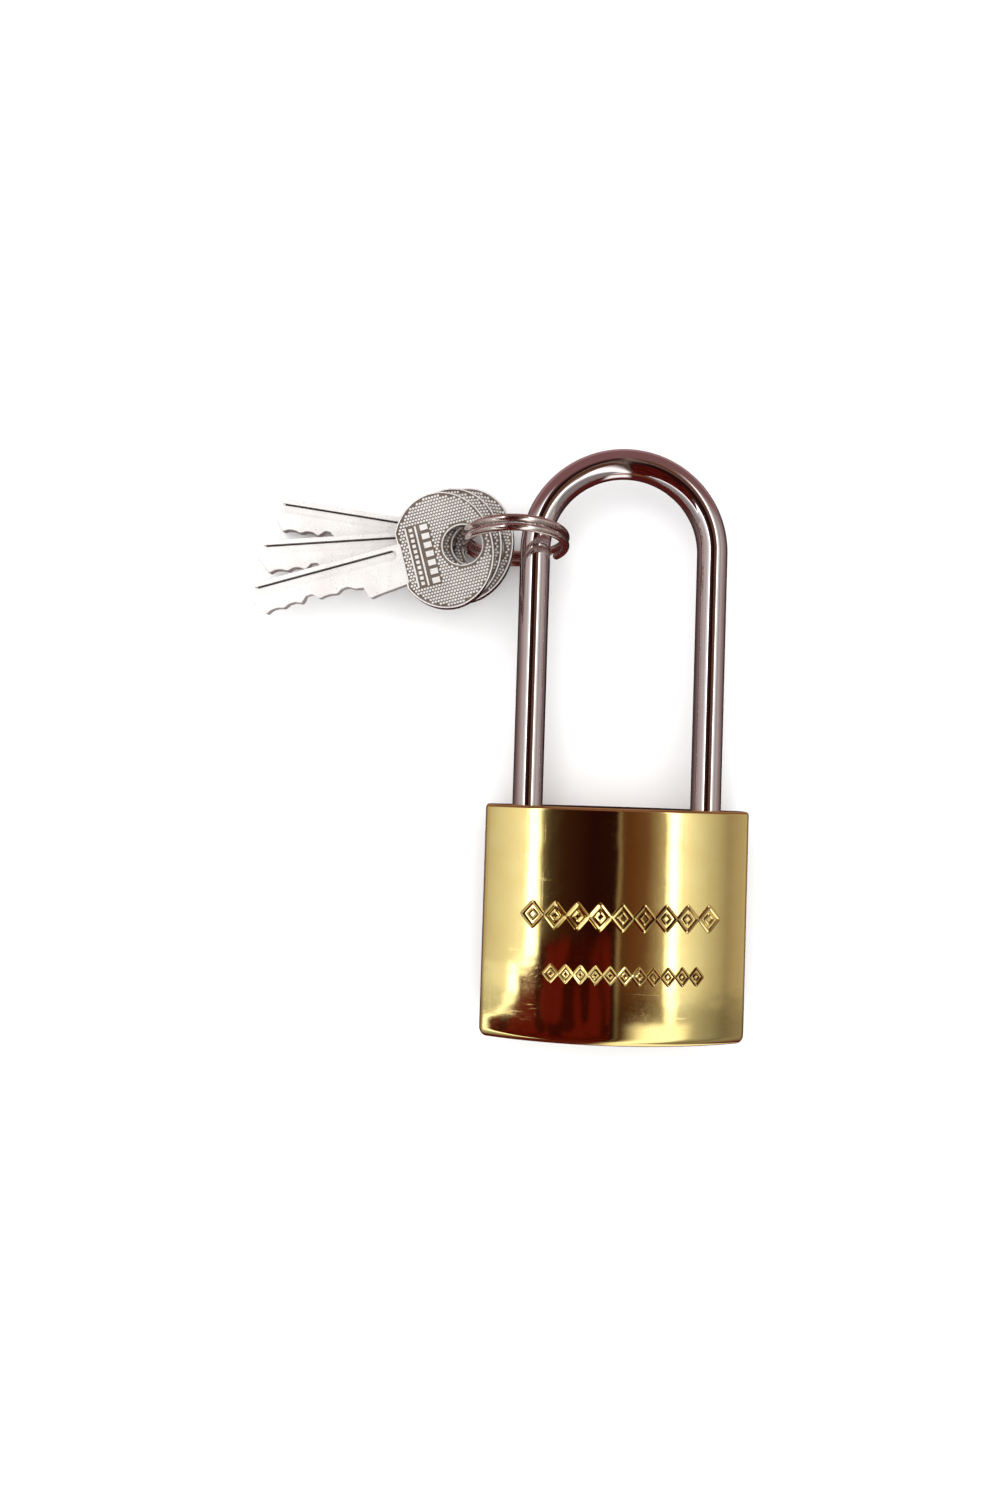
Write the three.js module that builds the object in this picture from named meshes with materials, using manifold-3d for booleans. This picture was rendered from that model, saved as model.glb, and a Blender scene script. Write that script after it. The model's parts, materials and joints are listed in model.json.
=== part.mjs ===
// Long-shackle brass padlock lying on its back, with a split ring and three keys on the
// shackle. Millimetres, +X across the body, +Y towards the bend of the shackle, +Z up.
// The origin is the middle of the body's flat resting strip; everything stands on z = 0.
import * as THREE from 'three';
import { mergeVertices } from 'three/addons/utils/BufferGeometryUtils.js';
import Module from 'manifold-3d';

const wasm = await Module();
wasm.setup();

// ---- driving dimensions -------------------------------------------------------------
const bodyWidth = 50;
const bodyHeight = 44;
const sideFlat = 4.8; // straight part of each narrow side
const faceBulge = 5.4; // rise of the rounded front and of the rounded back
const faceFacets = 13; // odd, so that the middle facet is the resting strip
const legSpacing = 34.2;
const shackleRadius = 2.9;
const shackleRise = 69.3; // from the top of the body to the outside of the bend
const shackleTravel = 13;
const plugRadius = 5.5;
const running = 0.15; // clearance round a piece in its drilled hole
const pinPitch = 3.6;
const keyCutDepths = [1.0, 0.5, 1.4, 0.8, 0.6];
const keyThickness = 2;
const keyStackPitch = 2.36;
const keySlope = THREE.MathUtils.degToRad(6);
const ringMeanRadius = 9.55;
const ringWireRadius = 0.75;
const ringTurnPitch = 1.66;
const ringLean = THREE.MathUtils.degToRad(8);

// ---- places that follow from them ---------------------------------------------------
const top = bodyHeight / 2;
const bottom = -bodyHeight / 2;
const side = bodyWidth / 2;
const faceRadius = (side * side + faceBulge * faceBulge) / (2 * faceBulge);
const faceHalfAngle = Math.asin(side / faceRadius);
const facetDrop = faceRadius * (1 - Math.cos(faceHalfAngle / faceFacets));
const midPlane = sideFlat / 2 + faceBulge - facetDrop;
const toeX = -legSpacing / 2;
const heelX = legSpacing / 2;
const legHole = shackleRadius + 0.23;
const bendY = top + shackleRise - legSpacing / 2 - shackleRadius;
const toeEnd = top - 11.5; // clears the body once the shackle is up
const heelEnd = toeEnd - 11.4;
const latchY = top - 5.5;
const crossBore = 1.75;
const latchRadius = crossBore - running;
const latchTravel = 2.4;
const noseRadius = 1.0;
const neckRadius = 1.9;
const neckLow = latchY - noseRadius - 0.3 - shackleTravel;
const neckHigh = latchY + noseRadius + 0.3;
const heelBottom = -16;
const plugTop = 9;
const camTop = plugTop + 2.3;
const nibOrbit = latchTravel / Math.SQRT2;
const grooveY = 5;
const firstPinY = bottom + 4.4;
const keySlotHalf = 4.1;
const ringCentre = new THREE.Vector3(-21, top + 50.2, ringMeanRadius + ringWireRadius + 0.05);

// ---- materials ------------------------------------------------------------------------
function metal(color, roughness) {
  return new THREE.MeshStandardMaterial({ color, roughness, metalness: 1 });
}

const brass = { color: 0xd2ab3c, roughness: 0.16 };
const chrome = { color: 0xb9adaf, roughness: 0.12 };
const nickel = { color: 0xd8d3cc, roughness: 0.3 };
const steel = { color: 0x8d8f92, roughness: 0.35 };
const spring = { color: 0x9a9a98, roughness: 0.3 };

// ---- solids ---------------------------------------------------------------------------
function solid(geometry) {
  const bare = geometry.clone();
  bare.deleteAttribute('normal');
  bare.deleteAttribute('uv');
  const merged = mergeVertices(bare, 1e-4);
  return new wasm.Manifold(new wasm.Mesh({
    numProp: 3,
    vertProperties: new Float32Array(merged.attributes.position.array),
    triVerts: new Uint32Array(merged.index.array),
  }));
}

function geometryOf(manifold) {
  const { vertProperties, triVerts } = manifold.getMesh();
  const geometry = new THREE.BufferGeometry();
  geometry.setAttribute('position', new THREE.BufferAttribute(vertProperties, 3));
  geometry.setIndex(new THREE.BufferAttribute(triVerts, 1));
  geometry.computeVertexNormals();
  return geometry;
}

function named(name, shape, look) {
  const geometry = shape.isBufferGeometry ? shape : geometryOf(shape);
  const piece = new THREE.Mesh(geometry, metal(look.color, look.roughness));
  piece.name = name;
  return piece;
}

// A round bar along Y, from one height to another.
function barY(radius, from, to, x = 0, z = midPlane, sides = 24) {
  return new THREE.CylinderGeometry(radius, radius, to - from, sides)
    .translate(x, (from + to) / 2, z);
}

// A round bar along X, from one side to the other.
function barX(radius, from, to, y, z = midPlane, sides = 20) {
  return new THREE.CylinderGeometry(radius, radius, to - from, sides)
    .rotateZ(-Math.PI / 2)
    .translate((from + to) / 2, y, z);
}

// A ring-shaped cutter round a bar along Y: everything outside the inner radius.
function collarY(inner, outer, from, to, x, z) {
  const profile = [
    new THREE.Vector2(inner, from),
    new THREE.Vector2(outer, from),
    new THREE.Vector2(outer, to),
    new THREE.Vector2(inner, to),
    new THREE.Vector2(inner, from),
  ];
  return new THREE.LatheGeometry(profile, 24).translate(x, 0, z);
}

// An outline drawn in X and Z, carried along Y.
function extrudedAlongY(shape, from, to) {
  return new THREE.ExtrudeGeometry(shape, { depth: to - from, bevelEnabled: false })
    .rotateX(-Math.PI / 2)
    .translate(0, from, 0);
}

function block(x0, x1, y0, y1, z0, z1) {
  return new THREE.BoxGeometry(x1 - x0, y1 - y0, z1 - z0)
    .translate((x0 + x1) / 2, (y0 + y1) / 2, (z0 + z1) / 2);
}

function circleShape(radius, sides) {
  const points = [];
  for (let i = 0; i < sides; i += 1) {
    const angle = (2 * Math.PI * i) / sides;
    points.push(new THREE.Vector2(radius * Math.cos(angle), radius * Math.sin(angle)));
  }
  return new THREE.Shape(points);
}

// A coil of round wire along X between two ends.
class Coil extends THREE.Curve {
  constructor(radius, from, to, turns, y) {
    super();
    Object.assign(this, { radius, from, to, turns, y });
  }

  getPoint(t, target = new THREE.Vector3()) {
    const angle = 2 * Math.PI * this.turns * t;
    return target.set(
      this.from + (this.to - this.from) * t,
      this.y + this.radius * Math.cos(angle),
      midPlane + this.radius * Math.sin(angle),
    );
  }
}

function coil(radius, wire, from, to, turns, y) {
  return new THREE.ExtrudeGeometry(circleShape(wire, 6), {
    steps: turns * 10,
    extrudePath: new Coil(radius, from + wire, to - wire, turns, y),
    bevelEnabled: false,
  });
}

// ---- body -------------------------------------------------------------------------------
function bodyOutline() {
  const points = [];
  for (const face of [1, -1]) {
    for (let i = 0; i <= faceFacets; i += 1) {
      const angle = face * faceHalfAngle * (1 - (2 * i) / faceFacets);
      const rise = faceRadius * Math.cos(angle) - (faceRadius - faceBulge) + sideFlat / 2;
      points.push(new THREE.Vector2(faceRadius * Math.sin(angle), face * rise));
    }
  }
  return new THREE.Shape(points);
}

function makeBody() {
  let body = solid(extrudedAlongY(bodyOutline(), bottom, top).translate(0, 0, midPlane));
  const cuts = [
    barY(legHole, toeEnd - 0.5, top + 1, toeX),
    barY(legHole, heelBottom, top + 1, heelX),
    barX(crossBore, -side - 1, heelX, latchY),
    barY(plugRadius + 0.3, bottom - 1, camTop + 0.4, 0, midPlane, 36),
    barY(nibOrbit + 1.3, camTop, latchY + 0.9),
    barX(1 + running, -side - 1, -plugRadius, grooveY),
  ];
  for (let n = 0; n < keyCutDepths.length; n += 1) {
    cuts.push(barX(1.35 + running, -side - 1, -plugRadius, firstPinY + n * pinPitch));
  }
  for (const cut of cuts) {
    body = body.subtract(solid(cut));
  }
  return named('body', body, brass);
}

// ---- shackle ----------------------------------------------------------------------------
// Centre line from the toe's end, up the toe leg, round the bend and down the heel leg.
class ShackleLine extends THREE.Curve {
  static bendSteps = 24;

  getPoint(t, target = new THREE.Vector3()) {
    const station = t * (ShackleLine.bendSteps + 2);
    if (station < 1) {
      return target.set(toeX, THREE.MathUtils.lerp(toeEnd, bendY, station), midPlane);
    }
    if (station > ShackleLine.bendSteps + 1) {
      const down = station - ShackleLine.bendSteps - 1;
      return target.set(heelX, THREE.MathUtils.lerp(bendY, heelEnd, down), midPlane);
    }
    const angle = Math.PI * (1 - (station - 1) / ShackleLine.bendSteps);
    return target.set(heelX * Math.cos(angle), bendY + heelX * Math.sin(angle), midPlane);
  }

  getPointAt(u, target) {
    return this.getPoint(u, target);
  }

  getTangentAt(u, target = new THREE.Vector3()) {
    const station = u * (ShackleLine.bendSteps + 2);
    const bend = THREE.MathUtils.clamp(station - 1, 0, ShackleLine.bendSteps);
    const angle = Math.PI * (1 - bend / ShackleLine.bendSteps);
    return target.set(Math.sin(angle), -Math.cos(angle), 0);
  }
}

function makeShackle() {
  let shackle = solid(new THREE.ExtrudeGeometry(circleShape(shackleRadius, 20), {
    steps: ShackleLine.bendSteps + 2,
    extrudePath: new ShackleLine(),
    bevelEnabled: false,
  }));
  const notchDeep = toeX + shackleRadius - latchTravel;
  const notch = block(notchDeep, toeX + 4, latchY - 2, latchY + 2, 0, 2 * midPlane);
  const neck = collarY(neckRadius, 4, neckLow, neckHigh, heelX, midPlane);
  shackle = shackle.subtract(solid(notch)).subtract(solid(neck));
  return named('shackle', shackle, chrome);
}

function springSeat() {
  return named('spring_seat', barY(2.8, heelEnd - 1.8, heelEnd - 0.3, heelX), steel);
}

function shackleSpring() {
  const low = heelBottom + 0.2;
  const high = heelEnd - 2.1;
  const upright = coil(2.3, 0.4, low, high, 8, 0);
  upright.translate(0, 0, -midPlane).rotateZ(Math.PI / 2).translate(heelX, 0, midPlane);
  return named('shackle_spring', upright, spring);
}

// ---- cylinder: plug, cam, pins ------------------------------------------------------------
// Built locked, with the pin holes towards -X, and stored turned open by a quarter turn.
function plugBody() {
  let plug = solid(barY(plugRadius, bottom, plugTop, 0, midPlane, 36));
  const cuts = [
    block(-keySlotHalf, keySlotHalf, bottom - 1, plugTop + 1, midPlane - 1.15, midPlane + 1.15),
    collarY(plugRadius - 0.9, plugRadius + 1, grooveY - 1.15, grooveY + 1.15, 0, midPlane),
  ];
  for (let n = 0; n < keyCutDepths.length; n += 1) {
    cuts.push(barX(1.35 + running, -plugRadius - 1, 0, firstPinY + n * pinPitch));
  }
  for (const cut of cuts) {
    plug = plug.subtract(solid(cut));
  }
  return named('plug', plug, brass);
}

function camPiece() {
  const disc = solid(barY(plugRadius - 0.1, plugTop + 0.3, camTop, 0, midPlane, 36));
  const offset = nibOrbit / Math.SQRT2;
  const nib = solid(barY(0.8, camTop - 1, latchY + 0.6, -offset, midPlane + offset, 16));
  return named('cam', disc.add(nib), steel);
}

function keyPin(n) {
  const inner = -3.6 + keyCutDepths[n];
  const bar = barX(1.35, -plugRadius + 0.25, inner, firstPinY + n * pinPitch);
  return named(`key_pin_${n + 1}`, bar, brass);
}

function turnedOpen(pieces) {
  const group = new THREE.Group();
  group.position.set(0, 0, midPlane);
  group.rotation.y = Math.PI / 2;
  for (const piece of pieces) {
    piece.geometry.translate(0, 0, -midPlane);
    group.add(piece);
  }
  return group;
}

function makeCylinder() {
  const pieces = [plugBody(), camPiece()];
  for (let n = 0; n < keyCutDepths.length; n += 1) {
    pieces.push(keyPin(n));
  }
  return turnedOpen(pieces);
}

function bodyPins() {
  const pieces = [];
  for (let n = 0; n < keyCutDepths.length; n += 1) {
    const y = firstPinY + n * pinPitch;
    const outer = -plugRadius - 0.35;
    pieces.push(
      named(`driver_pin_${n + 1}`, barX(1.35, outer - 4.5, outer, y), steel),
      named(`pin_spring_${n + 1}`, coil(1.05, 0.2, outer - 10.5, outer - 4.7, 5, y), spring),
      named(`chamber_plug_${n + 1}`, barX(1.35, -side, outer - 10.8, y), brass),
    );
  }
  return pieces;
}

// ---- latch and the pieces in the cross bore ------------------------------------------------
function makeLatch() {
  const tip = toeX + shackleRadius + 0.3;
  const end = 2.9;
  const nibX = nibOrbit / Math.SQRT2;
  const slot = block(nibX - 1.1, nibX + 1.1, latchY - 3, latchY + 1, midPlane, midPlane + 3);
  const bevel = block(-3, 3, 0, 3, -3, 3).rotateZ(Math.PI / 4)
    .translate(tip + 1.3, latchY + latchRadius, midPlane);
  const latch = solid(barX(latchRadius, tip, end, latchY)).subtract(solid(slot));
  return named('latch', latch.subtract(solid(bevel)), steel);
}

function heelRetainer() {
  const shank = solid(barX(latchRadius, 7.5, heelX - legHole - 0.3, latchY));
  const nose = solid(barX(noseRadius, 9, heelX - neckRadius - 0.3, latchY));
  return named('heel_retainer', shank.add(nose), steel);
}

function lockFittings() {
  return [
    makeLatch(),
    named('latch_spring', coil(1.25, 0.25, 3.1, 7.3, 5, latchY), spring),
    heelRetainer(),
    named('latch_bore_plug', barX(latchRadius, -side, toeX - legHole - 0.2, latchY), brass),
    named('plug_retaining_pin', barX(1, -side, -plugRadius + 0.55, grooveY), steel),
  ];
}

// ---- split ring ---------------------------------------------------------------------------
// Two turns of round wire, side by side, with one short step between them. The opening of
// the ring is at its lower right, under the shackle's leg.
class RingLine extends THREE.Curve {
  getPoint(t, target = new THREE.Vector3()) {
    const gap = THREE.MathUtils.degToRad(18);
    const swept = THREE.MathUtils.lerp(gap, 4 * Math.PI - gap, t);
    const step = THREE.MathUtils.smoothstep(swept, 2 * Math.PI - gap * 0.9, 2 * Math.PI + gap * 0.9);
    const angle = swept - Math.PI * 0.3;
    return target.set(
      ringMeanRadius * Math.cos(angle),
      ringTurnPitch * (step - 0.5),
      ringMeanRadius * Math.sin(angle),
    );
  }
}

function makeRing() {
  const ring = new THREE.ExtrudeGeometry(circleShape(ringWireRadius, 8), {
    steps: 84,
    extrudePath: new RingLine(),
    bevelEnabled: false,
  });
  const piece = named('split_ring', ring, chrome);
  piece.position.copy(ringCentre);
  piece.rotation.x = -ringLean;
  return piece;
}

// ---- keys ---------------------------------------------------------------------------------
// A key is drawn flat: u runs from the middle of the ring hole to the tip, v to the cuts.
const keyTip = 42.5;
const keyStop = 19.6;
const bowEdge = 12.2;
const bowCentre = 3.8;
const bowHalfLength = 9.65;
const bowHalfWidth = 11.3;
const spineV = -3.4;
const edgeV = 3.1;

function keyOutline() {
  const points = [];
  const corner = Math.acos((bowEdge - bowCentre) / bowHalfLength);
  const arcSteps = 28;
  for (let i = 0; i <= arcSteps; i += 1) {
    const angle = corner + ((2 * Math.PI - 2 * corner) * i) / arcSteps;
    points.push([bowCentre + bowHalfLength * Math.cos(angle), bowHalfWidth * Math.sin(angle)]);
  }
  points.push(
    [bowEdge, spineV],
    [keyTip - 1.6, spineV],
    [keyTip, 0],
    [keyTip - 1.3, 1.9],
    [keyTip - 2.2, edgeV],
  );
  for (let n = keyCutDepths.length - 1; n >= 0; n -= 1) {
    const u = keyStop + (firstPinY - bottom) + n * pinPitch;
    const bottomV = edgeV - keyCutDepths[n];
    points.push([u + 0.6, bottomV], [u - 0.6, bottomV]);
    points.push([u - pinPitch / 2, edgeV - 0.25]);
  }
  points.push([keyStop + 0.8, edgeV], [keyStop, 5.4], [keyStop - 1.6, 5.1]);
  return points.map(([u, v]) => new THREE.Vector2(u, v));
}

function makeKey(index) {
  const shape = new THREE.Shape(keyOutline());
  const blank = new THREE.ExtrudeGeometry(shape, { depth: keyThickness, bevelEnabled: false })
    .translate(0, 0, -keyThickness / 2);
  const hole = new THREE.CylinderGeometry(3.8, 3.8, 4, 28).rotateX(Math.PI / 2);
  const groove = block(14.5, keyTip + 1, spineV + 0.9, spineV + 2.8, keyThickness / 2 - 0.6, 2);
  const key = solid(blank).subtract(solid(hole)).subtract(solid(groove));
  return named(`key_${index}`, key, nickel);
}

// Hole centres and fan angles of the three keys, from the top of the stack down.
const keyPlaces = [
  { x: -31.0, y: 71.1, fan: 15.6 },
  { x: -29.3, y: 71.6, fan: 4 },
  { x: -27.15, y: 71.5, fan: -8.7 },
];

function placedKeys() {
  const group = new THREE.Group();
  const lowest = keyThickness / 2 + 0.1;
  keyPlaces.forEach(({ x, y, fan }, i) => {
    const key = makeKey(i + 1);
    const above = (keyPlaces.length - 1 - i) * keyStackPitch / Math.cos(keySlope);
    const run = keyPlaces[2].x - x;
    const z = lowest + keyTip * Math.sin(keySlope) + above - run * Math.tan(keySlope);
    const holder = new THREE.Group();
    holder.position.set(x, y, z);
    holder.rotation.y = -keySlope;
    key.rotation.z = Math.PI + THREE.MathUtils.degToRad(fan);
    holder.add(key);
    group.add(holder);
  });
  return group;
}

// ---- the padlock ----------------------------------------------------------------------------
const padlock = new THREE.Group();
padlock.add(
  makeBody(),
  makeShackle(),
  springSeat(),
  shackleSpring(),
  makeCylinder(),
  ...bodyPins(),
  ...lockFittings(),
  makeRing(),
  placedKeys(),
);

export default padlock;
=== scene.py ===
"""A brass padlock with a long chromed shackle, a split ring and three keys, lying on its back.

The working parts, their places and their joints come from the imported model. This script
gives the visible pieces their fine surfaces and every piece its finish. Metres, +X across
the body, +Y along the shackle, +Z up.
"""
import json
import math

import bmesh
import bpy
import numpy as np
from mathutils import Matrix, Vector


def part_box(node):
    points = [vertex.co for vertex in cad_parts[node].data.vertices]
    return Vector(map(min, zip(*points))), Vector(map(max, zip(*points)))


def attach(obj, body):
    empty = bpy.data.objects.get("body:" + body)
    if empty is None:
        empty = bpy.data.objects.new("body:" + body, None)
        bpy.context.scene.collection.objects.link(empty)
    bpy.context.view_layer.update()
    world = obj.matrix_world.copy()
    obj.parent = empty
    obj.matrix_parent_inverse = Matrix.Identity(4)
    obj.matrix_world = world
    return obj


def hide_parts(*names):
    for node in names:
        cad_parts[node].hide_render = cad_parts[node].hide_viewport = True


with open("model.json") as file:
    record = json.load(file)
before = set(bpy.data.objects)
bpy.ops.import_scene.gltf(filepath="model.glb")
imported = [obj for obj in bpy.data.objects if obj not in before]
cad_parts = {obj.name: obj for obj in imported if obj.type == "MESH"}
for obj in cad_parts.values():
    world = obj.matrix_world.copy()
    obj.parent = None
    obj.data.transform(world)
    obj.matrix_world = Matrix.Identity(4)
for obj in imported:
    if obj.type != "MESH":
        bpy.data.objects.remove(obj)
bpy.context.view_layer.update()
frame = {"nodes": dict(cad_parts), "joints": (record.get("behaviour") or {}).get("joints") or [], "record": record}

# ---- sizes ---------------------------------------------------------------------------
MM = 0.001
TAU = 2 * math.pi
body_low, body_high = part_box("body")
shackle_low, shackle_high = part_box("shackle")
plug_low, plug_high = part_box("plug")
ring_low, ring_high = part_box("split_ring")
joints = {joint["name"]: joint for joint in frame["joints"]}

HALF_WIDTH = body_high.x
MID = (body_low.z + body_high.z) / 2
HALF_THICK = (body_high.z - body_low.z) / 2
HALF_SIDE = 2.4 * MM
BULGE = HALF_THICK - HALF_SIDE
FACE_RADIUS = (HALF_WIDTH ** 2 + BULGE ** 2) / (2 * BULGE)
FACE_AXIS = HALF_SIDE + BULGE - FACE_RADIUS
LEG = (shackle_high.z - shackle_low.z) / 2
LEG_X = shackle_high.x - LEG
HOLE = LEG + 0.23 * MM
BEND_Y = shackle_high.y - LEG_X - LEG
PLUG = (plug_high.x - plug_low.x) / 2
LATCH_Y = body_high.y - 5.5 * MM
RETAINER_Y = 5 * MM
LATCH_BORE = 1.75 * MM
RETAINER_BORE = 1.15 * MM
PIN_BORE = 1.42 * MM
NIB_BORE = 3 * MM
PIN_BOXES = [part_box(f"driver_pin_{n}") for n in range(1, 6)]
PIN_MIDDLES = [(low.y + high.y) / 2 for low, high in PIN_BOXES]


# ---- mesh making -------------------------------------------------------------------------
def grid_faces(rows, columns, wrap_rows=False):
    """Quads between neighbouring points of a rows x columns grid that is numbered row by row.
    Each row closes on itself, and with wrap_rows the last row joins the first."""
    r = np.arange(rows if wrap_rows else rows - 1)[:, None]
    c = np.arange(columns)[None, :]
    r2, c2 = (r + 1) % rows, (c + 1) % columns
    quads = [r * columns + c, r * columns + c2, r2 * columns + c2, r2 * columns + c]
    return np.stack(np.broadcast_arrays(*quads), -1).reshape(-1, 4)


def mesh_of(name, points, faces):
    """A mesh of the points and faces, with doubles merged and the faces turned outwards."""
    mesh = bpy.data.meshes.new(name)
    mesh.from_pydata(np.asarray(points).reshape(-1, 3).tolist(), [], list(map(list, faces)))
    tidy = bmesh.new()
    tidy.from_mesh(mesh)
    bmesh.ops.remove_doubles(tidy, verts=tidy.verts, dist=1e-7)
    bmesh.ops.dissolve_degenerate(tidy, edges=tidy.edges, dist=1e-8)
    bmesh.ops.recalc_face_normals(tidy, faces=tidy.faces)
    tidy.to_mesh(mesh)
    tidy.free()
    return mesh


def closed_grid(name, points, wrap_rows=False):
    """A closed skin over a rows x columns grid: round each row, and capped at both ends."""
    rows, columns = points.shape[:2]
    faces = grid_faces(rows, columns, wrap_rows).tolist()
    if not wrap_rows:
        faces.append(list(range(columns)))
        faces.append([(rows - 1) * columns + i for i in range(columns)])
    return mesh_of(name, points, faces)


def layered(name, layers):
    """A solid from outlines stacked along Z: each layer is an outline of (x, y) points and
    its height, and all of them have as many points."""
    grid = [np.concatenate([outline, np.full((len(outline), 1), height)], 1)
            for outline, height in layers]
    return closed_grid(name, np.array(grid))


def turned(name, profile, axis, centre, sides):
    """A turned solid. Each (radius, height) of the profile is a ring about the axis: radius
    times the cosine and sine of the angle across it, and the height along it."""
    radius, height = np.array(profile).T
    angle = np.linspace(0, TAU, sides, endpoint=False)
    across = radius[:, None] * np.cos(angle)
    up = radius[:, None] * np.sin(angle)
    along = np.broadcast_to(height[:, None], across.shape)
    order = {"Y": (across, along, up), "X": (along, up, across), "Z": (across, up, along)}
    return closed_grid(name, np.stack(order[axis], -1) + np.array(centre))


def block(name, low, high):
    """A box between two corners: its square carried from the low height to the high one."""
    (x0, y0, z0), (x1, y1, z1) = low, high
    square = np.array([(x0, y0), (x1, y0), (x1, y1), (x0, y1)])
    return layered(name, [(square, z0), (square, z1)])


def joined(name, *meshes):
    """One mesh holding the shells of several."""
    whole = bmesh.new()
    for mesh in meshes:
        whole.from_mesh(mesh)
    result = bpy.data.meshes.new(name)
    whole.to_mesh(result)
    whole.free()
    return result


def carved(mesh, cutters, operation="DIFFERENCE"):
    """The solid with each cutter taken away from it, or joined to it, in turn."""
    work = bpy.data.objects.new("work", mesh)
    bpy.context.scene.collection.objects.link(work)
    tools = []
    for cutter in cutters:
        tool = bpy.data.objects.new("tool", cutter)
        bpy.context.scene.collection.objects.link(tool)
        step = work.modifiers.new("carve", "BOOLEAN")
        step.operation = operation
        step.solver = "EXACT"
        step.object = tool
        tools.append(tool)
    graph = bpy.context.evaluated_depsgraph_get()
    result = bpy.data.meshes.new_from_object(work.evaluated_get(graph))
    for thing in [work, *tools]:
        bpy.data.objects.remove(thing)
    return result


def piece(name, mesh, body, look, stands_for=(), sharp=32):
    """A finished piece: smooth apart from its sharp edges, riding on its body."""
    tidy = bmesh.new()
    tidy.from_mesh(mesh)
    bmesh.ops.remove_doubles(tidy, verts=tidy.verts, dist=1e-7)
    bmesh.ops.triangulate(tidy, faces=[f for f in tidy.faces if len(f.verts) > 4])
    tidy.to_mesh(mesh)
    tidy.free()
    mesh.shade_smooth()
    mesh.set_sharp_from_angle(angle=math.radians(sharp))
    mesh.materials.clear()
    mesh.materials.append(look)
    thing = bpy.data.objects.new(name, mesh)
    bpy.context.scene.collection.objects.link(thing)
    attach(thing, body)
    if stands_for:
        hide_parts(*stands_for)
    return thing


# ---- shader making -----------------------------------------------------------------------
class Value:
    """A number socket. Sums, differences, products and quotients of it add Math nodes."""

    def __init__(self, board, socket):
        self.board, self.socket = board, socket

    def _maths(self, operation, *values):
        made = self.board.add("Math", {"operation": operation}, *values)
        return Value(self.board, made.outputs[0])

    def __add__(self, other):
        return self._maths("ADD", self, other)

    def __sub__(self, other):
        return self._maths("SUBTRACT", self, other)

    def __rsub__(self, other):
        return self._maths("SUBTRACT", other, self)

    def __mul__(self, other):
        return self._maths("MULTIPLY", self, other)

    def __truediv__(self, other):
        return self._maths("DIVIDE", self, other)

    def above(self, limit, softness):
        """0 below limit - softness, 1 above limit + softness, and a smooth rise between."""
        made = self.board.add("MapRange", {"interpolation_type": "SMOOTHSTEP"}, self,
                              limit - softness, limit + softness)
        return Value(self.board, made.outputs[0])

    __radd__ = __add__


class Board:
    """The nodes of one material or of the world."""

    def __init__(self, owner):
        owner.use_nodes = True
        self.tree = owner.node_tree
        self.tree.nodes.clear()

    def add(self, kind, settings=None, *values, **named):
        """One node: its settings first, then its sockets by order or by name."""
        made = self.tree.nodes.new("ShaderNode" + kind)
        for key, setting in (settings or {}).items():
            if key == "stops":
                self._set_ramp(made.color_ramp, setting)
            else:
                setattr(made, key, setting)
        pairs = [*enumerate(values), *((k.replace("_", " "), v) for k, v in named.items())]
        for key, value in pairs:
            self.join(value, made.inputs[key])
        return made

    def _set_ramp(self, ramp, stops):
        while len(ramp.elements) > 1:
            ramp.elements.remove(ramp.elements[-1])
        for i, (place, colour) in enumerate(stops):
            element = ramp.elements[0] if i == 0 else ramp.elements.new(place)
            element.position = place
            element.color = (*colour, 1)

    def join(self, value, socket):
        if isinstance(value, Value):
            value = value.socket
        if isinstance(value, bpy.types.NodeSocket):
            self.tree.links.new(value, socket)
        else:
            socket.default_value = value

    def value(self, made, output=0):
        return Value(self, made.outputs[output])

    def noise(self, place, scale, detail=2.0, roughness=0.5):
        made = self.add("TexNoise", None, Vector=place, Scale=scale, Detail=detail,
                        Roughness=roughness)
        return self.value(made)

    def stretched(self, place, scale, turn=(0, 0, 0)):
        """The place with each axis scaled, after a turn in degrees."""
        made = self.add("Mapping", None, Vector=place)
        made.inputs["Rotation"].default_value = [math.radians(a) for a in turn]
        made.inputs["Scale"].default_value = scale
        return made.outputs[0]

    def mix(self, mask, first, second):
        """The first colour where the mask is 0 and the second where it is 1."""
        made = self.add("Mix", {"data_type": "RGBA"})
        self.join(mask, made.inputs[0])
        self.join(first, made.inputs[6])
        self.join(second, made.inputs[7])
        return made.outputs[2]

    def finish(self, kind, made):
        """Link a shader to the output node of that kind."""
        out = self.add(kind)
        self.tree.links.new(made.outputs[0], out.inputs[0])


def rgb(red, green, blue):
    return (red, green, blue, 1.0)


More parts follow.
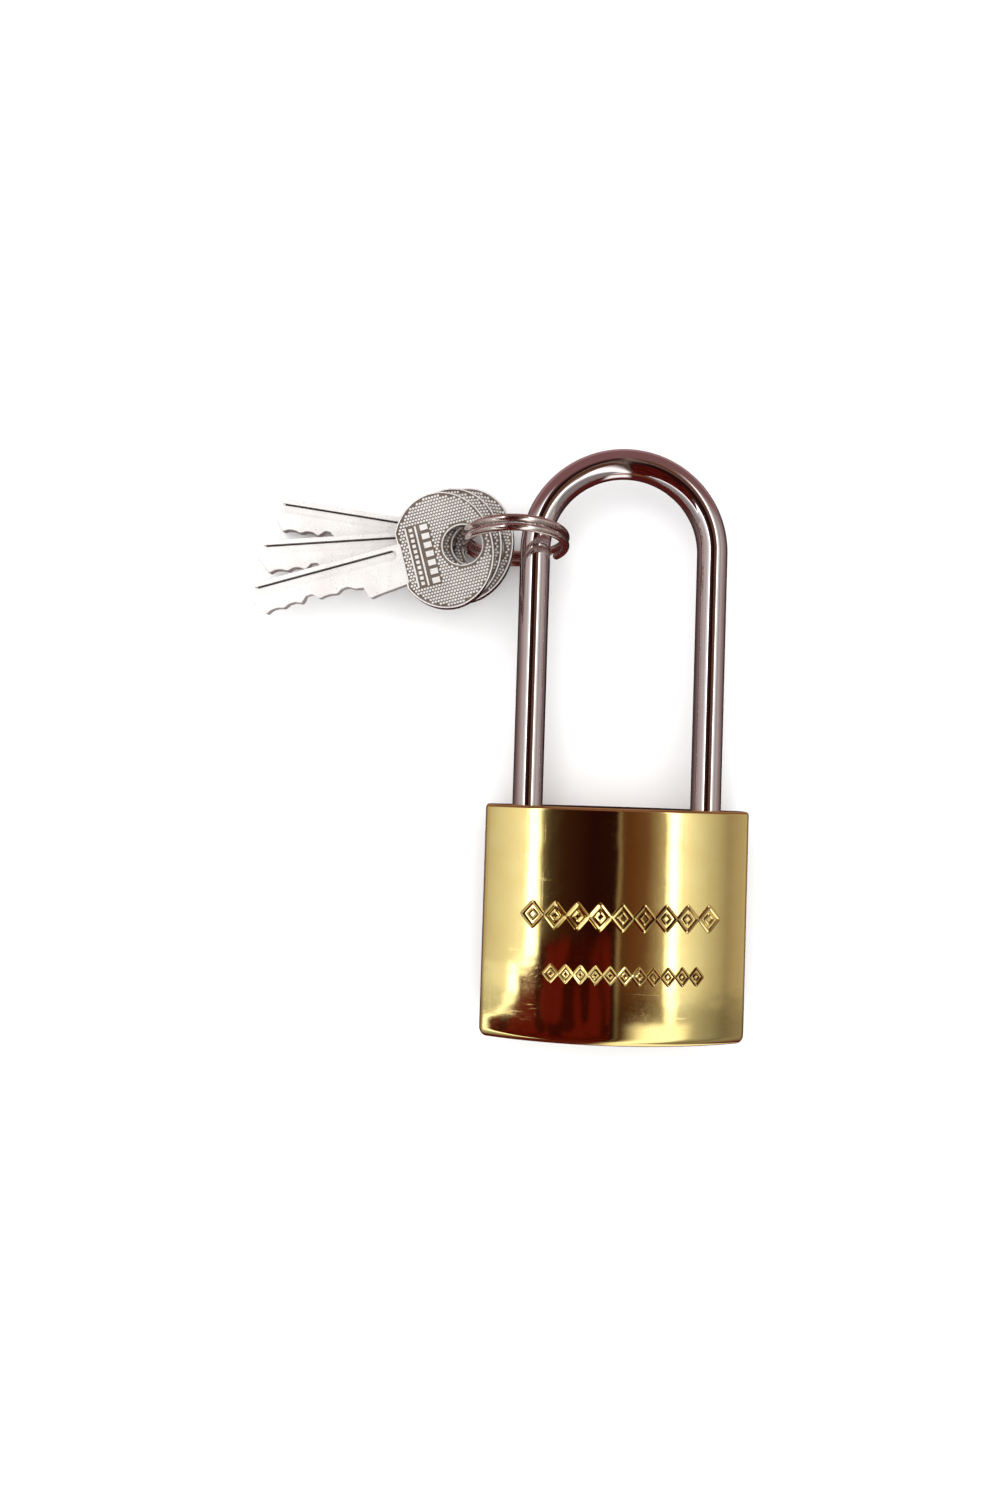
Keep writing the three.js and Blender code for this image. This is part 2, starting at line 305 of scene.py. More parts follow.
def metal(name, shade, worn, roughness, grain, waves=0.0, brushed=None, scratches=0.0,
          metallic=1.0):
    """A bare or plated metal. The colour drifts from shade to worn in soft patches, fine
    grain and hairline scratches roughen it, and slow waves bend what it mirrors."""
    look = bpy.data.materials.new(name)
    board = Board(look)
    place = board.add("TexCoord").outputs["Object"]
    patches = board.noise(place, 160, 3)
    fine = board.noise(place, 2600, 2, 0.6)
    specks = board.noise(place, 5200, 1).above(0.66, 0.05)
    across = board.noise(board.stretched(place, (90, 2600, 900), (0, 0, 24)), 1, 2)
    along = board.noise(board.stretched(place, (2200, 60, 900), (0, 0, 11)), 1, 2)
    hairs = across.above(0.69, 0.03) + along.above(0.7, 0.03)
    tone = board.mix(patches.above(0.52, 0.22), rgb(*shade), rgb(*worn))
    rough = roughness + (fine - 0.5) * (roughness * 0.7) + specks * grain
    rough = rough + hairs * scratches * 0.3
    height = fine * (grain * 0.5) + specks * (grain * 0.6) + hairs * (scratches * -0.6)
    if brushed:
        strokes = board.noise(board.stretched(place, brushed), 1, 3, 0.6)
        rough = rough + (strokes - 0.5) * (roughness * 0.8)
        height = height + strokes * (grain * 1.2)
    slow = board.noise(place, 85, 1) + board.noise(place, 240, 1) * 0.25
    bend = board.add("Bump", None, Strength=1.0, Distance=waves * MM, Height=slow)
    bump = board.add("Bump", None, Strength=0.5, Distance=0.01 * MM, Height=height,
                     Normal=bend.outputs[0])
    shader = board.add("BsdfPrincipled", None, Base_Color=tone, Metallic=metallic,
                       Roughness=rough, Normal=bump.outputs[0])
    board.finish("OutputMaterial", shader)
    return look


LOOKS = {
    "polished_brass": metal("polished_brass", (0.87, 0.71, 0.3), (0.85, 0.66, 0.26), 0.055,
                            0.07, waves=0.05, scratches=0.2),
    "plug_brass": metal("plug_brass", (0.7, 0.53, 0.22), (0.62, 0.45, 0.18), 0.3, 0.3,
                        brushed=(900, 900, 90)),
    "chromed_steel": metal("chromed_steel", (0.76, 0.71, 0.72), (0.72, 0.66, 0.68), 0.06, 0.08,
                           waves=0.03, scratches=0.2),
    "ring_steel": metal("ring_steel", (0.8, 0.74, 0.71), (0.72, 0.63, 0.6), 0.13, 0.2,
                        scratches=0.4),
    "nickel_plate": metal("nickel_plate", (0.88, 0.865, 0.84), (0.79, 0.76, 0.74), 0.32, 0.03,
                          brushed=(1200, 300, 900), metallic=0.4),
    # Painted shade: a darker grey copy of the nickel for the side faces of the blade.
    "blade_side_painted_shade": metal("blade_side_painted_shade", (0.72, 0.7, 0.68), (0.62, 0.58, 0.56), 0.3, 0.2,
                         metallic=0.6),
    # Painted shade: a dark brown copy of the nickel for the side faces of the bow, between the stacked keys.
    "bow_side_painted_shade": metal("bow_side_painted_shade", (0.5, 0.4, 0.36), (0.4, 0.3, 0.27), 0.25, 0.2),
    # Painted shade for the floor of the bow's sunk field, between the knurl domes.
    "field_painted_shade": metal("field_painted_shade", (0.24, 0.19, 0.15), (0.16, 0.12, 0.09), 0.4, 0.2,
                           metallic=0.5),
    # Painted shadow along the front groove of each key.
    "groove_shadow": metal("groove_shadow", (0.05, 0.035, 0.03), (0.03, 0.02, 0.02), 0.5, 0.1,
                           metallic=0.2),
    "plain_steel": metal("plain_steel", (0.5, 0.51, 0.52), (0.42, 0.42, 0.43), 0.35, 0.3,
                         brushed=(900, 900, 120)),
    "spring_wire": metal("spring_wire", (0.58, 0.58, 0.57), (0.5, 0.49, 0.48), 0.28, 0.2),
}


# ---- camera, floor and light -----------------------------------------------------------------
def add_camera():
    """The camera looks straight down on the lock, a little tilted and turned."""
    data = bpy.data.cameras.new("camera")
    data.lens = 24.85
    data.sensor_width = 36
    data.clip_start = 0.01
    camera = bpy.data.objects.new("camera", data)
    bpy.context.scene.collection.objects.link(camera)
    eye = Vector((-22.7, 27.26, 206.85)) * MM
    tilt, roll = math.radians(1.46), math.radians(1.82)
    turn = Matrix.Rotation(tilt, 4, "X") @ Matrix.Rotation(roll, 4, "Z")
    camera.matrix_world = Matrix.Translation(eye) @ turn
    bpy.context.scene.camera = camera


def add_floor():
    """A wide matt floor just under the lock, which metal does not mirror."""
    reach, drop = 3.0, 0.02 * MM
    corners = [(-reach, -reach, 0), (reach, -reach, 0), (reach, reach, 0), (-reach, reach, 0)]
    mesh = bpy.data.meshes.new("floor")
    mesh.from_pydata(corners, [], [(0, 1, 2, 3)])
    look = bpy.data.materials.new("pale_floor")
    board = Board(look)
    shader = board.add("BsdfPrincipled", None, Base_Color=rgb(0.93, 0.93, 0.93),
                       Roughness=0.9)
    board.finish("OutputMaterial", shader)
    mesh.materials.append(look)
    floor = bpy.data.objects.new("floor", mesh)
    floor.location.z = -drop
    floor.visible_glossy = False
    bpy.context.scene.collection.objects.link(floor)


ROOM_GLOW = 4.0
# What is mirrored overhead: degrees from straight up towards +X, then red, green and blue.
OVERHEAD = [
    (-180, 0.02, 0.01, 0.01), (-134, 0.1, 0.06, 0.056), (-102, 0.25, 0.17, 0.16),
    (-81, 0.42, 0.32, 0.3), (-60, 0.6, 0.52, 0.48), (-50, 0.52, 0.47, 0.44),
    (-45, 0.73, 0.71, 0.68), (-37, 0.98, 0.97, 0.95), (-31, 1.2, 1.2, 1.2),
    (-30, 3.6, 3.6, 3.6), (-26.2, 3.6, 3.6, 3.6), (-25, 0.22, 0.18, 0.14),
    (-21.5, 0.06, 0.04, 0.03), (-16, 0.04, 0.014, 0.009), (-5, 0.02, 0.004, 0.004),
    (5.8, 0.02, 0.005, 0.005), (6.6, 0.5, 0.4, 0.32), (7.4, 0.09, 0.04, 0.02),
    (11.5, 0.12, 0.045, 0.02), (18, 0.16, 0.08, 0.05), (22, 0.32, 0.24, 0.19),
    (26.3, 0.62, 0.56, 0.48), (27.3, 3.6, 3.6, 3.6), (30.5, 3.6, 3.6, 3.6),
    (32, 1.3, 1.3, 1.3), (37, 1.0, 1.0, 0.98), (44, 0.66, 0.64, 0.6),
    (52.6, 0.36, 0.32, 0.29), (62, 0.56, 0.5, 0.46), (83, 0.39, 0.3, 0.28),
    (104, 0.25, 0.18, 0.17), (134, 0.03, 0.017, 0.015),
]


def lit(red, green, blue):
    """The world colour that gives this much light at the room's strength."""
    return rgb(red / ROOM_GLOW, green / ROOM_GLOW, blue / ROOM_GLOW)


def add_surroundings():
    """A dim mauve room. What polished metal mirrors runs, from left to right overhead, through
    a lit wall, a window strip, the dark ceiling with one thin gap in it, a brown shelf, a
    second window and the right wall. It is mauve ahead, towards +Y. Behind, towards -Y, it is
    clouded dark red with a pale glow to the right. Seen directly, or by a matt surface, the
    room is plain white."""
    world = bpy.data.worlds.new("room")
    bpy.context.scene.world = world
    board = Board(world)
    place = board.add("TexCoord").outputs["Generated"]
    parts = board.add("SeparateXYZ", None, place)
    x, y, z = (board.value(parts, i) for i in range(3))
    back, down = 0 - y, 0 - z
    lean = board.value(board.add("Math", {"operation": "ARCTAN2"}, x, z)) * (180 / math.pi)

    # Lower down behind, the strips on the left bend to the left in two steps.
    push = back.above(0.179, 0.006) * 7.1 + back.above(0.224, 0.028) * 13
    bent = lean + push * (1 - lean.above(-14, 6))
    stops = [(degrees / 360 + 0.5, lit(*colour)[:3]) for degrees, *colour in OVERHEAD]
    ramp = board.add("ValToRGB", {"stops": stops}, bent / 360 + 0.5)
    room = board.mix(back.above(0.2, 0.012) * 0.45, ramp.outputs[0], rgb(0, 0, 0))

    cloud = board.noise(place, 9, 1).above(0.52, 0.05)
    red = board.mix(cloud * 0.8, lit(0.11, 0.008, 0.005), lit(0.02, 0.003, 0.002))
    behind = back.above(0.15, 0.012) * bent.above(-25, 1) * (1 - lean.above(4.5, 1))
    room = board.mix(behind, room, red)
    glow = back.above(0.234, 0.02) * lean.above(15, 7) * (1 - lean.above(36, 5))
    room = board.mix(glow, room, lit(1.7, 1.65, 1.6))

    mauve, pale_mauve = lit(0.23, 0.11, 0.105), lit(0.42, 0.25, 0.255)
    ahead = board.mix(down.above(0.3, 0.25), mauve, pale_mauve)
    room = board.mix(y.above(0.52, 0.13), room, ahead)

    beside = x.above(0.07, 0.05) * (1 - x.above(0.4, 0.06)) * z.above(-0.6, 0.08)
    low = board.mix(beside, lit(0.1, 0.015, 0.012), lit(1.3, 1.25, 1.2))
    room = board.mix(down.above(0.1, 0.2) * back.above(0.3, 0.2), room, low)
    room = board.mix(back.above(0.95, 0.03) * (z + 0.3).above(0.1, 0.1), room, low)

    path = board.add("LightPath")
    plain = board.value(path, "Is Diffuse Ray") + board.value(path, "Is Camera Ray")
    colour = board.mix(plain, room, lit(1.5, 1.5, 1.5))
    background = board.add("Background", None, Color=colour, Strength=ROOM_GLOW)
    board.finish("OutputWorld", background)


def add_lamp():
    """One weak soft lamp, high on the left, that no metal mirrors."""
    data = bpy.data.lights.new("soft_lamp", "AREA")
    data.shape = "DISK"
    data.size = 0.5
    data.energy = 1.2
    lamp = bpy.data.objects.new("soft_lamp", data)
    place = Vector((-0.35, 0.45, 0.6))
    lamp.location = place
    lamp.rotation_euler = (-place).to_track_quat("-Z", "Y").to_euler()
    lamp.visible_glossy = False
    bpy.context.scene.collection.objects.link(lamp)


# ---- body ---------------------------------------------------------------------------------
def face_height(x):
    """Height of the rounded front above a point at x: an arc over the body's mid-plane."""
    return MID + FACE_AXIS + np.sqrt(FACE_RADIUS ** 2 - x ** 2)


def body_outline(inset, corner, face_steps=150, corner_steps=9, side_steps=4):
    """The body's cross-section shrunk by the inset. Front and back are arcs, the sides are
    straight, and arcs about one point per corner round them off."""
    radius = max(corner - inset, 0.02 * MM)
    back = inset + radius
    centre_x = HALF_WIDTH - back
    tangent = math.asin(centre_x / (FACE_RADIUS - back))
    centre_z = FACE_AXIS + (FACE_RADIUS - back) * math.cos(tangent)
    face = np.linspace(tangent, -tangent, face_steps)
    round_left = np.linspace(-tangent, -math.pi / 2, corner_steps)[1:]
    front = np.stack([np.sin(face), np.cos(face)], -1) * (FACE_RADIUS - inset)
    front[:, 1] += FACE_AXIS
    left = np.stack([np.sin(round_left), np.cos(round_left)], -1) * radius
    left += (-centre_x, centre_z)
    side = np.linspace(centre_z, -centre_z, side_steps + 1)[1:-1]
    flat = np.stack([np.full_like(side, inset - HALF_WIDTH), side], -1)
    lower_left = left[::-1] * (1, -1)
    back_face = front[::-1] * (1, -1)
    lower_right = left * (-1, -1)
    upper_right = left[::-1] * (-1, 1)
    return np.concatenate([front, left, flat, lower_left, back_face[1:-1], lower_right,
                           flat[::-1] * (-1, 1), upper_right])


def body_shell():
    """The outline carried along Y, drawn in round the bottom edge and the top edge."""
    bottom_round, top_round, corner = 1.9 * MM, 0.7 * MM, 0.95 * MM
    rows = []
    for angle in np.linspace(0, math.pi / 2, 14):
        inset = bottom_round * (1 - math.sin(angle))
        rows.append((body_low.y + bottom_round * (1 - math.cos(angle)), inset))
    for y in np.linspace(body_low.y + bottom_round, body_high.y - top_round, 14)[1:-1]:
        rows.append((y, 0))
    for angle in np.linspace(0, math.pi / 2, 9):
        inset = top_round * (1 - math.cos(angle))
        rows.append((body_high.y - top_round * (1 - math.sin(angle)), inset))
    grid = []
    for y, inset in rows:
        outline = body_outline(inset, corner)
        grid.append(np.stack([outline[:, 0], np.full(len(outline), y), outline[:, 1] + MID], -1))
    return closed_grid("body_shell", np.array(grid))


def leg_hole(x, floor):
    """The hole for a leg of the shackle: a plain bore up to the top end, with a small chamfer
    at its mouth."""
    top, mouth = body_high.y, 0.3 * MM
    profile = [(HOLE, floor), (HOLE, top - mouth), (HOLE + mouth, top), (HOLE + mouth, top + MM)]
    return turned("leg_hole", profile, "Y", (x, 0, MID), 56)


def plug_hole():
    """The hole for the plug, chamfered where it opens in the bottom end."""
    bottom, mouth, radius = body_low.y, 0.25 * MM, PLUG + 0.12 * MM
    profile = [(radius + mouth, bottom - MM), (radius + mouth, bottom), (radius, bottom + mouth),
               (radius, 11.7 * MM)]
    return turned("plug_hole", profile, "Y", (0, 0, MID), 72)


def side_drill(radius, y, depth, sides=32):
    """A plain drill along X, from outside the left side in to the given depth."""
    profile = [(radius, -HALF_WIDTH - MM), (radius, depth)]
    return turned("side_drill", profile, "X", (0, y, MID), sides)


def make_body():
    """The shell with the holes for both legs, the plug and the cam's nib, and the drills from
    the left side for the latch, the plug's retaining pin and the five pins."""
    nib_hole = [(NIB_BORE, 11 * MM), (NIB_BORE, LATCH_Y + 0.9 * MM)]
    drills = [
        leg_hole(-LEG_X, body_high.y - 12 * MM),
        leg_hole(LEG_X, -16 * MM),
        plug_hole(),
        turned("nib_hole", nib_hole, "Y", (0, 0, MID), 48),
        side_drill(LATCH_BORE, LATCH_Y, LEG_X, 48),
        side_drill(RETAINER_BORE, RETAINER_Y, -PLUG),
        *(side_drill(PIN_BORE, y, -PLUG) for y in PIN_MIDDLES),
    ]
    shell = carved(body_shell(), drills)
    piece("padlock_body", shell, "body", LOOKS["polished_brass"], ["body"])


def ribbon(path, width, height):
    """A low raised line on the front: a closed path of (x, y), and five stations across it
    that rise above the front in a rounded ridge and end just inside it."""
    run = np.roll(path, -1, 0) - np.roll(path, 1, 0)
    run /= np.linalg.norm(run, axis=1)[:, None]
    across = np.stack([-run[:, 1], run[:, 0]], -1)
    sunk = -0.06 * MM
    rise = np.array([sunk, 0.7 * height, height, 0.7 * height, sunk])
    offset = np.array([-0.5, -0.34, 0, 0.34, 0.5]) * width
    xy = path[:, None] + offset[None, :, None] * across[:, None]
    z = face_height(xy[..., 0]) + rise
    points = np.concatenate([xy, z[..., None]], -1)
    return closed_grid("ribbon", points, wrap_rows=True)


def lozenge(cx, cy, half_x, half_y, steps):
    """A diamond outline about a point, walked in even steps from corner to corner."""
    corners = np.array([(half_x, 0), (0, half_y), (-half_x, 0), (0, -half_y)])
    t = np.linspace(0, 1, steps, endpoint=False)[:, None]
    sides = [a + (b - a) * t for a, b in zip(corners, np.roll(corners, -1, 0))]
    return np.concatenate(sides) + (cx, cy)


def band(middle, y, count, half_x, half_y, width):
    """A row of lozenges about a middle, each with a smaller one inside it."""
    pitch, inner = 2.12 * half_x, 0.42
    shells = []
    for i in range(count):
        x = middle + (i - (count - 1) / 2) * pitch
        shells.append(ribbon(lozenge(x, y, half_x, half_y, 10), width, 0.3 * MM))
        small = lozenge(x, y, half_x * inner, half_y * inner, 4)
        shells.append(ribbon(small, width * 0.8, 0.25 * MM))
    return shells


def make_relief():
    """Two plain bands of linked lozenges across the front, the upper one larger."""
    upper = band(0.8 * MM, 1.9 * MM, 9, 1.94 * MM, 2.35 * MM, 0.85 * MM)
    lower = band(1.5 * MM, -8.8 * MM, 11, 1.28 * MM, 1.6 * MM, 0.62 * MM)
    relief = joined("front_relief", *upper, *lower)
    piece("front_relief", relief, "body", LOOKS["polished_brass"])


# ---- cylinder -------------------------------------------------------------------------------
def make_plug():
    """The turned plug, open by a quarter turn: a warded keyway, a retaining groove, and the
    pin holes facing up."""
    low, high = plug_low.y, plug_high.y
    edge, groove_half, groove_deep = 0.25 * MM, 1.15 * MM, 0.9 * MM
    groove_low, groove_high = RETAINER_Y - groove_half, RETAINER_Y + groove_half
    profile = [
        (PLUG - edge, low), (PLUG, low + edge), (PLUG, groove_low),
        (PLUG - groove_deep, groove_low), (PLUG - groove_deep, groove_high),
        (PLUG, groove_high), (PLUG, high),
    ]
    solid = turned("plug", profile, "Y", (0, 0, MID), 96)
    slot, hole = 4.1 * MM, 1.5 * MM
    cuts = []
    for left, right, under, over in (
        (-0.55 * MM, 1.15 * MM, -slot, slot),
        (-1.15 * MM, 0.6 * MM, -slot, -1.0 * MM),
        (-1.15 * MM, 0.6 * MM, 0.9 * MM, slot),
    ):
        cuts.append(block("keyway", (left, low - MM, MID + under), (right, high + MM, MID + over)))
    for y in PIN_MIDDLES:
        drill = [(hole, MID + 0.5 * MM), (hole, MID + PLUG + MM)]
        cuts.append(turned("pin_hole", drill, "Z", (0, y, 0), 32))
    piece("cylinder_plug", carved(solid, cuts), "plug", LOOKS["plug_brass"],
          ["plug"])


# ---- shackle ---------------------------------------------------------------------------------
def tube(name, path, radius, normal, sides):
    """A round bar along a path. Each point's ring lies across the path: its own radius times
    the cosine of the angle along the given normal, and times the sine along the other."""
    run = np.gradient(path, axis=0)
    run /= np.linalg.norm(run, axis=1)[:, None]
    second = np.cross(run, normal)
    angle = np.linspace(0, TAU, sides, endpoint=False)[None, :, None]
    ring = np.cos(angle) * normal[:, None] + np.sin(angle) * second[:, None]
    return closed_grid(name, path[:, None] + radius[:, None, None] * ring)


def leg_stations(low, high, marks):
    """Heights from low to high, close together at each mark."""
    near = np.concatenate([m + np.array([-0.02, 0.02]) * MM for m in marks])
    return np.unique(np.concatenate([np.linspace(low, high, 40), near]))


def make_shackle():
    """A bar carried up the toe leg, round a half circle and down the heel leg. The ends are
    chamfered, the heel has the neck that lets it turn on its retainer, and the toe the notch
    for the latch."""
    toe_end = body_high.y - 11.5 * MM
    heel_end = shackle_low.y
    chamfer = 0.5 * MM
    neck_low, neck_high = LATCH_Y - 14.3 * MM, LATCH_Y + 1.3 * MM
    toe = leg_stations(toe_end, BEND_Y, [toe_end + chamfer])
    heel = leg_stations(heel_end, BEND_Y, [neck_low, neck_high, heel_end + chamfer])[::-1]
    bend = np.linspace(math.pi, 0, 98)[1:-1]
    x = np.concatenate([np.full_like(toe, -LEG_X), LEG_X * np.cos(bend),
                        np.full_like(heel, LEG_X)])
    y = np.concatenate([toe, BEND_Y + LEG_X * np.sin(bend), heel])
    path = np.stack([x, y, np.full_like(x, MID)], -1)
    from_end = np.where(x < 0, y - toe_end, y - heel_end)
    radius = LEG - (1 - np.clip(from_end / chamfer, 0, 1)) * chamfer
    radius[(x > 0) & (y > neck_low) & (y < neck_high)] = 1.9 * MM
    normal = np.tile((0.0, 0.0, 1.0), (len(path), 1))
    bar = tube("shackle", path, radius, normal, 48)
    notch_x, notch_half = -LEG_X + LEG - 2.4 * MM, 2 * MM
    notch = block("notch", (notch_x, LATCH_Y - notch_half, 0),
                  (notch_x + 4 * MM, LATCH_Y + notch_half, 2 * MID))
    piece("bent_shackle", carved(bar, [notch]), "shackle",
          LOOKS["chromed_steel"], ["shackle"])


# ---- split ring ----------------------------------------------------------------------------
def make_ring():
    """Two turns of round wire side by side: the mean radius times the cosine and sine of the
    angle, with one short smooth step along the axis between the turns and rounded ends. The
    axis leans a little from the shackle's leg."""
    mean, wire, pitch = 9.55 * MM, 0.735 * MM, 1.66 * MM
    lean, gap, start = math.radians(8), math.radians(18), -math.pi * 0.3
    centre = np.array([(ring_low.x + ring_high.x) / 2, body_high.y + 50.2 * MM,
                       mean + 0.79 * MM])
    swept = np.linspace(gap, 2 * TAU - gap, 420)
    step = np.clip((swept - TAU + gap * 0.9) / (gap * 1.8), 0, 1)
    step = step * step * (3 - 2 * step)
    angle = swept + start
    out = np.stack([np.cos(angle), np.zeros_like(angle), np.sin(angle)], -1)
    path = mean * out
    path[:, 1] = pitch * (step - 0.5)
    turn = np.array(Matrix.Rotation(-lean, 3, "X"))
    path = path @ turn.T + centre
    from_end = np.minimum(swept - swept[0], swept[-1] - swept) * mean
    radius = wire * np.sqrt(1 - np.clip(1 - from_end / wire, 0, 1) ** 2 * 0.96)
    piece("key_ring", tube("ring", path, radius, out @ turn.T, 28), "split_ring",
          LOOKS["ring_steel"], ["split_ring"])


# ---- keys -----------------------------------------------------------------------------------
# Each key is drawn flat, its ring hole at the origin and its blade along +X.
KEY_HALF = 1.0 * MM
KEY_TIP = 42.5 * MM
KEY_STOP = 19.6 * MM
BOW_EDGE = 12.2 * MM
BOW_CENTRE = 3.8 * MM
BOW_LONG = 9.65 * MM
BOW_WIDE = 11.3 * MM
KEY_HOLE = 3.8 * MM
SPINE = -3.4 * MM
BLADE_EDGE = 3.1 * MM
CUTS = [1.0 * MM, 0.5 * MM, 1.4 * MM, 0.8 * MM, 0.6 * MM]
CUT_PITCH = 3.6 * MM
FIELD_DEEP = 0.22 * MM
FIELD = KEY_HALF - FIELD_DEEP
GROOVE_DEEP = 0.6 * MM
TUCK = BOW_EDGE - 0.6 * MM
COLLAR, RIM, SOFT = 0.25 * MM, 0.32 * MM, 0.1 * MM
# How far each key is turned from pointing straight to the left, in degrees.
FANS = {1: 15.6, 2: 4.0, 3: -8.7}


def bow_reach(angle):
    """Distance from the ring hole's middle to the bow's edge: an ellipse about a point
    further along the key, cut off straight where the blade starts."""
    c, s = np.cos(angle), np.sin(angle)
    a = (c / BOW_LONG) ** 2 + (s / BOW_WIDE) ** 2
    b = -c * BOW_CENTRE / BOW_LONG ** 2
    root = np.sqrt(b * b - a * ((BOW_CENTRE / BOW_LONG) ** 2 - 1))
    ellipse = (root - b) / a
    straight = np.where(c > 0.05, BOW_EDGE / np.maximum(c, 0.05), 1)
    return np.minimum(ellipse, straight)


def around_hole(name, angle, rows):
    """A closed shell round the ring hole. Each (radius, height) of the rows is a station that
    runs once round at those angles, and the last row joins the first."""
    grid = [np.stack([r * np.cos(angle), r * np.sin(angle), np.full_like(angle, h)], -1)
            for r, h in rows]
    return closed_grid(name, np.array(grid), wrap_rows=True)


def bow_shell():
    """The bow as stations from the hole out to the edge over the front, then back to the hole
    over the back: a plain collar at the hole, a sunk field, and a raised rounded rim."""
    angle = np.linspace(0, TAU, 216, endpoint=False)
    reach, hole = bow_reach(angle), np.full_like(angle, KEY_HOLE)
    rows = [
        (hole, KEY_HALF - SOFT), (hole + SOFT, KEY_HALF), (hole + COLLAR, KEY_HALF),
        (hole + COLLAR + SOFT, FIELD), (reach - RIM - SOFT, FIELD), (reach - RIM, KEY_HALF),
        (reach - 0.2 * MM, KEY_HALF), (reach - 0.06 * MM, KEY_HALF - 0.07 * MM),
        (reach, KEY_HALF - 0.2 * MM),
    ]
    rows += [(radius, -height) for radius, height in rows[::-1]]
    return around_hole("bow", angle, rows)


def blade_outline():
    """The blade's edge, spine first: the blunt tip, the five cuts with flats at their
    bottoms, the stop shoulder, and the slope back to the bow."""
    points = [(TUCK, SPINE), (KEY_TIP - 1.6 * MM, SPINE), (KEY_TIP, 0),
              (KEY_TIP - 1.3 * MM, 1.9 * MM), (KEY_TIP - 2.2 * MM, BLADE_EDGE)]
    first, flat = KEY_STOP + 4.4 * MM, 0.6 * MM
    for n, deep in reversed(list(enumerate(CUTS))):
        u = first + n * CUT_PITCH
        points += [(u + flat, BLADE_EDGE - deep), (u - flat, BLADE_EDGE - deep),
                   (u - CUT_PITCH / 2, BLADE_EDGE - 0.25 * MM)]
    points += [(KEY_STOP + 0.8 * MM, BLADE_EDGE), (KEY_STOP, 5.4 * MM),
               (KEY_STOP - 1.6 * MM, 5.1 * MM), (TUCK, 4.5 * MM)]
    return np.array(points)


def softened(points, cut):
    """The outline with each corner cut back to two points, at most the cut away from it."""
    pair = []
    for beside in (np.roll(points, 1, 0), np.roll(points, -1, 0)):
        leg = beside - points
        length = np.linalg.norm(leg, axis=1)[:, None]
        pair.append(points + leg / length * np.minimum(cut, length * 0.3))
    return np.stack(pair, 1).reshape(-1, 2)


def blade_shell():
    """The blade's outline at four heights, drawn in a little at both faces."""
    outline = softened(blade_outline(), 0.18 * MM)
    centre = np.array([(BOW_EDGE + KEY_TIP) / 2, 0])
    inner = outline - np.sign(outline - centre) * 0.1 * MM
    edge = KEY_HALF - 0.12 * MM
    return layered("blade", [(inner, -KEY_HALF), (outline, -edge), (outline, edge),
                             (inner, KEY_HALF)])


def groove_cutter(start, low, high, deep, side):
    """A milled channel along the blade on one face, round where it starts by the bow."""
    middle, half = (low + high) / 2, (high - low) / 2
    arc = np.linspace(math.pi / 2, 1.5 * math.pi, 13)
    ends = np.stack([start + half * np.cos(arc), middle + half * np.sin(arc)], -1)
    outline = np.concatenate([ends, [(KEY_TIP + MM, low), (KEY_TIP + MM, high)]])
    return layered("groove", [(outline, side * (KEY_HALF - deep)), (outline, side * 2 * MM)])


def knurl(side):
    """Small domes over the sunk field of the bow, on a staggered grid: every other row is
    moved along by half a pitch. Each dome is three rings of eight points."""
    pitch, corners = 0.58 * MM, 8
    rows, columns = np.arange(-22, 23), np.arange(-24, 32)
    u, v = np.meshgrid(columns * pitch, rows * pitch)
    u = u + (rows % 2)[:, None] * pitch / 2
    radius, reach = np.hypot(u, v), bow_reach(np.arctan2(v, u))
    field = (radius > KEY_HOLE + 0.62 * MM) & (radius < reach - 0.69 * MM)
    marks = (u > 5.3 * MM) & (u < 10.4 * MM) & (abs(v) < 6.2 * MM)
    centres = np.stack([u, v, np.zeros_like(u)], -1)[field & ~marks]
    angle = np.linspace(0, TAU, corners, endpoint=False)
    profile = np.array([(0.26, -0.05), (0.25, 0.08), (0.22, 0.11)]) * MM
    across, height = profile[:, 0, None], profile[:, 1, None]
    dome = np.stack([across * np.cos(angle), across * np.sin(angle),
                     np.broadcast_to(side * (FIELD + height), (len(profile), corners))], -1)
    points = centres[:, None] + dome.reshape(1, -1, 3)
    first = np.arange(len(centres))[:, None, None] * points.shape[1]
    sides = grid_faces(len(profile), corners)
    ends = np.arange(corners) + np.array([[0], [corners * (len(profile) - 1)]])
    faces = (sides + first).reshape(-1, 4).tolist()
    faces += (ends + first).reshape(-1, corners).tolist()
    return mesh_of("knurl", points, faces)


def painted_shade_plates():
    """Painted shade on the floor of the sunk field, front and back: a thin dark ring from the collar to
    the rim, standing for the shade in the gaps between the knurl domes."""
    angle = np.linspace(0, TAU, 216, endpoint=False)
    inner = np.full_like(angle, KEY_HOLE + COLLAR + 0.12 * MM)
    outer = bow_reach(angle) - RIM - 0.12 * MM
    plates = []
    for side in (1, -1):
        low, high = side * (FIELD - 0.03 * MM), side * (FIELD + 0.015 * MM)
        rows = [(inner, low), (outer, low), (outer, high), (inner, high)]
        plates.append(around_hole("recess", angle, rows))
    return joined("recess", *plates)


def bow_marks(side):
    """Two bars on the bow beside the blade with square studs between them, and a row of
    larger studs beside them."""
    low, high = sorted((side * (FIELD - 0.05 * MM), side * (KEY_HALF - 0.04 * MM)))

    def mark(left, right, middle, half):
        return block("mark", (left * MM, (middle - half) * MM, low),
                     (right * MM, (middle + half) * MM, high))

    bars = [mark(7.9, 8.25, 0, 5.9), mark(9.85, 10.2, 0, 5.9)]
    small = [mark(8.7, 9.4, v, 0.33) for v in np.arange(-5, 6) * 1.05]
    large = [mark(5.7, 7.2, v, 0.55) for v in np.arange(-3, 4) * 1.75]
    return bars + small + large


